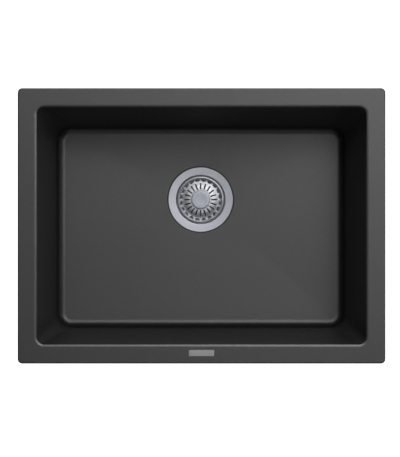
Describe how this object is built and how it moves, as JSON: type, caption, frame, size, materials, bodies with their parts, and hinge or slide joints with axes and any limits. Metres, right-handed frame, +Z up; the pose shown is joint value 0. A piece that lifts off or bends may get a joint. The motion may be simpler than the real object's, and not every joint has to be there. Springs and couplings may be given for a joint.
{
  "type": "kitchen sink",
  "caption": "Drop-in single-bowl kitchen sink of dark granite composite with a flat rim, steel basket strainer waste and worktop clips.",
  "frame": {"origin": "centre of the rim's underside, in the plane where the rim lies on the worktop", "axes": "+X along the sink's width to the right, +Y to its back, +Z up out of the bowl"},
  "size_m": [0.61, 0.457, 0.3406],
  "materials": {
    "granite": "satin, fine speckle",
    "rubber": "matt",
    "nameplate": "brushed",
    "brass": "turned",
    "zinc": "zinc plated",
    "flange_steel": "brushed",
    "basket_steel": "polished",
    "knob_steel": "brushed",
    "screw_steel": "plain",
    "waste_plastic": "moulded",
    "nut_plastic": "moulded",
    "pipe_plastic": "drawn",
    "plate_plastic": "moulded",
    "clip_plastic": "moulded"
  },
  "bodies": {
    "sink": {"sink_bowl": "granite", "rim_seal": "rubber", "nameplate": "nameplate", "clip_inserts": "brass", "clip_studs": "zinc", "drain_flange": "flange_steel", "flange_seal": "rubber", "under_seal": "rubber", "waste_body": "waste_plastic", "waste_funnel": "waste_plastic", "waste_hub": "waste_plastic", "fixing_screw": "screw_steel", "fixing_nut": "brass", "coupling_nut": "nut_plastic", "outlet_seal": "rubber", "tailpiece": "pipe_plastic"},
    "strainer": {"basket": "basket_steel", "basket_knob": "knob_steel", "basket_stem": "basket_steel", "stopper_plate": "plate_plastic", "stopper_seal": "rubber", "stem_clip": "clip_plastic"},
    "wing_nut_1": {"clip_nut_1": "zinc"},
    "toothed_arm_1": {"clip_arm_1": "zinc"},
    "wing_nut_2": {"clip_nut_2": "zinc"},
    "toothed_arm_2": {"clip_arm_2": "zinc"},
    "wing_nut_3": {"clip_nut_3": "zinc"},
    "toothed_arm_3": {"clip_arm_3": "zinc"},
    "wing_nut_4": {"clip_nut_4": "zinc"},
    "toothed_arm_4": {"clip_arm_4": "zinc"},
    "wing_nut_5": {"clip_nut_5": "zinc"},
    "toothed_arm_5": {"clip_arm_5": "zinc"},
    "wing_nut_6": {"clip_nut_6": "zinc"},
    "toothed_arm_6": {"clip_arm_6": "zinc"},
    "wing_nut_7": {"clip_nut_7": "zinc"},
    "toothed_arm_7": {"clip_arm_7": "zinc"},
    "wing_nut_8": {"clip_nut_8": "zinc"},
    "toothed_arm_8": {"clip_arm_8": "zinc"}
  },
  "joints": [
    {"name": "basket_lift", "type": "slide", "parent": "sink", "child": "strainer", "axis": [0, 0, 1], "range_m": [0, 0.24]},
    {"name": "clip_climb_1", "type": "slide", "parent": "sink", "child": "wing_nut_1", "axis": [0, 0, 1], "range_m": [0, 0.015]},
    {"name": "clip_swing_1", "type": "hinge", "parent": "wing_nut_1", "child": "toothed_arm_1", "pos_m": [0.289, -0.1, -0.04], "axis": [0, 0, 1], "range_deg": [0, 90]},
    {"name": "clip_climb_2", "type": "slide", "parent": "sink", "child": "wing_nut_2", "axis": [0, 0, 1], "range_m": [0, 0.015]},
    {"name": "clip_swing_2", "type": "hinge", "parent": "wing_nut_2", "child": "toothed_arm_2", "pos_m": [0.289, 0.1, -0.04], "axis": [0, 0, 1], "range_deg": [0, 90]},
    {"name": "clip_climb_3", "type": "slide", "parent": "sink", "child": "wing_nut_3", "axis": [0, 0, 1], "range_m": [0, 0.015]},
    {"name": "clip_swing_3", "type": "hinge", "parent": "wing_nut_3", "child": "toothed_arm_3", "pos_m": [0.15, 0.2125, -0.04], "axis": [0, 0, 1], "range_deg": [0, 90]},
    {"name": "clip_climb_4", "type": "slide", "parent": "sink", "child": "wing_nut_4", "axis": [0, 0, 1], "range_m": [0, 0.015]},
    {"name": "clip_swing_4", "type": "hinge", "parent": "wing_nut_4", "child": "toothed_arm_4", "pos_m": [-0.15, 0.2125, -0.04], "axis": [0, 0, 1], "range_deg": [0, 90]},
    {"name": "clip_climb_5", "type": "slide", "parent": "sink", "child": "wing_nut_5", "axis": [0, 0, 1], "range_m": [0, 0.015]},
    {"name": "clip_swing_5", "type": "hinge", "parent": "wing_nut_5", "child": "toothed_arm_5", "pos_m": [-0.289, 0.1, -0.04], "axis": [0, 0, 1], "range_deg": [0, 90]},
    {"name": "clip_climb_6", "type": "slide", "parent": "sink", "child": "wing_nut_6", "axis": [0, 0, 1], "range_m": [0, 0.015]},
    {"name": "clip_swing_6", "type": "hinge", "parent": "wing_nut_6", "child": "toothed_arm_6", "pos_m": [-0.289, -0.1, -0.04], "axis": [0, 0, 1], "range_deg": [0, 90]},
    {"name": "clip_climb_7", "type": "slide", "parent": "sink", "child": "wing_nut_7", "axis": [0, 0, 1], "range_m": [0, 0.015]},
    {"name": "clip_swing_7", "type": "hinge", "parent": "wing_nut_7", "child": "toothed_arm_7", "pos_m": [-0.15, -0.2125, -0.04], "axis": [0, 0, 1], "range_deg": [0, 90]},
    {"name": "clip_climb_8", "type": "slide", "parent": "sink", "child": "wing_nut_8", "axis": [0, 0, 1], "range_m": [0, 0.015]},
    {"name": "clip_swing_8", "type": "hinge", "parent": "wing_nut_8", "child": "toothed_arm_8", "pos_m": [0.15, -0.2125, -0.04], "axis": [0, 0, 1], "range_deg": [0, 90]}
  ]
}
